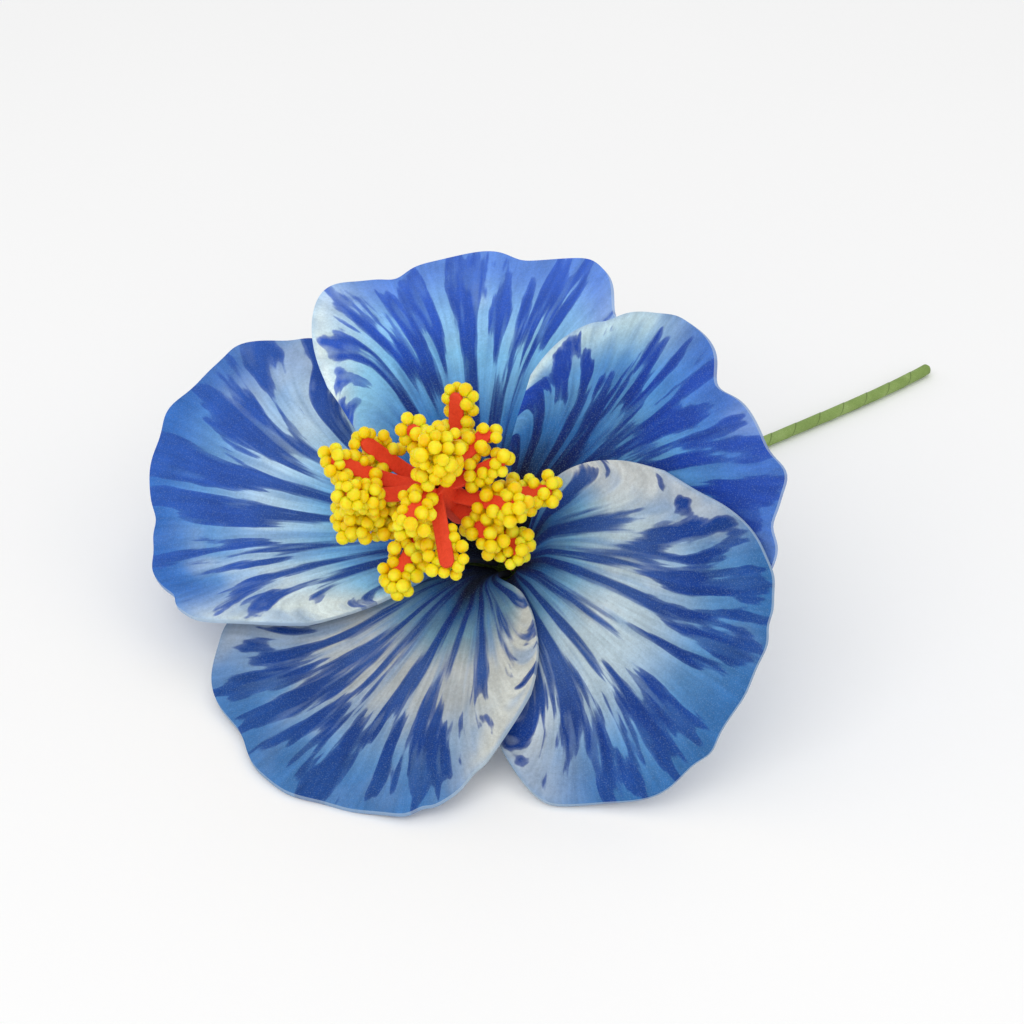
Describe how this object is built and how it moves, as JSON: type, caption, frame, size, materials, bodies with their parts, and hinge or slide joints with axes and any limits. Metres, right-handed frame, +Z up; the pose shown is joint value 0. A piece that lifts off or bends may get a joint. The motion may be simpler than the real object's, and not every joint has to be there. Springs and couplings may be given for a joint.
{
  "type": "artificial foam hibiscus flower",
  "caption": "Artificial hibiscus flower of dyed blue foam petals round a red pistil with yellow pollen beads, on a bent green wire stem, lying down.",
  "frame": {"origin": "centre of the bounding box on the table surface that the flower lies on", "axes": "+Z up from the table; the blossom faces -Y and up, and the stem lies towards +X and +Y"},
  "size_m": [0.1555, 0.1411, 0.0601],
  "materials": {
    "petal_foam": "matt foam sheet dyed white to cobalt and azure blue",
    "calyx_green": "matt green foam",
    "pistil_foam": "matt red foam",
    "pollen_beads": "smooth satin yellow beads",
    "stem_tape": "matt waxed crepe floral tape",
    "stem_wire": "plain drawn wire"
  },
  "bodies": {
    "root": {"petal_top": "petal_foam", "petal_left": "petal_foam", "petal_lower_left": "petal_foam", "petal_lower_right": "petal_foam", "petal_upper_right": "petal_foam", "calyx": "calyx_green", "pistil_column": "pistil_foam", "filament_01": "pistil_foam", "filament_02": "pistil_foam", "filament_03": "pistil_foam", "filament_04": "pistil_foam", "filament_05": "pistil_foam", "filament_06": "pistil_foam", "filament_07": "pistil_foam", "filament_08": "pistil_foam", "filament_09": "pistil_foam", "filament_10": "pistil_foam", "filament_11": "pistil_foam", "filament_12": "pistil_foam", "filament_13": "pistil_foam", "filament_14": "pistil_foam", "filament_15": "pistil_foam", "filament_16": "pistil_foam", "pollen_01": "pollen_beads", "pollen_02": "pollen_beads", "pollen_03": "pollen_beads", "pollen_04": "pollen_beads", "pollen_05": "pollen_beads", "pollen_06": "pollen_beads", "pollen_07": "pollen_beads", "pollen_08": "pollen_beads", "pollen_09": "pollen_beads", "pollen_10": "pollen_beads", "pollen_11": "pollen_beads", "pollen_12": "pollen_beads", "pollen_13": "pollen_beads", "pollen_14": "pollen_beads", "pollen_15": "pollen_beads", "pollen_16": "pollen_beads", "stem_tape": "stem_tape", "stem_wire": "stem_wire"}
  },
  "joints": []
}
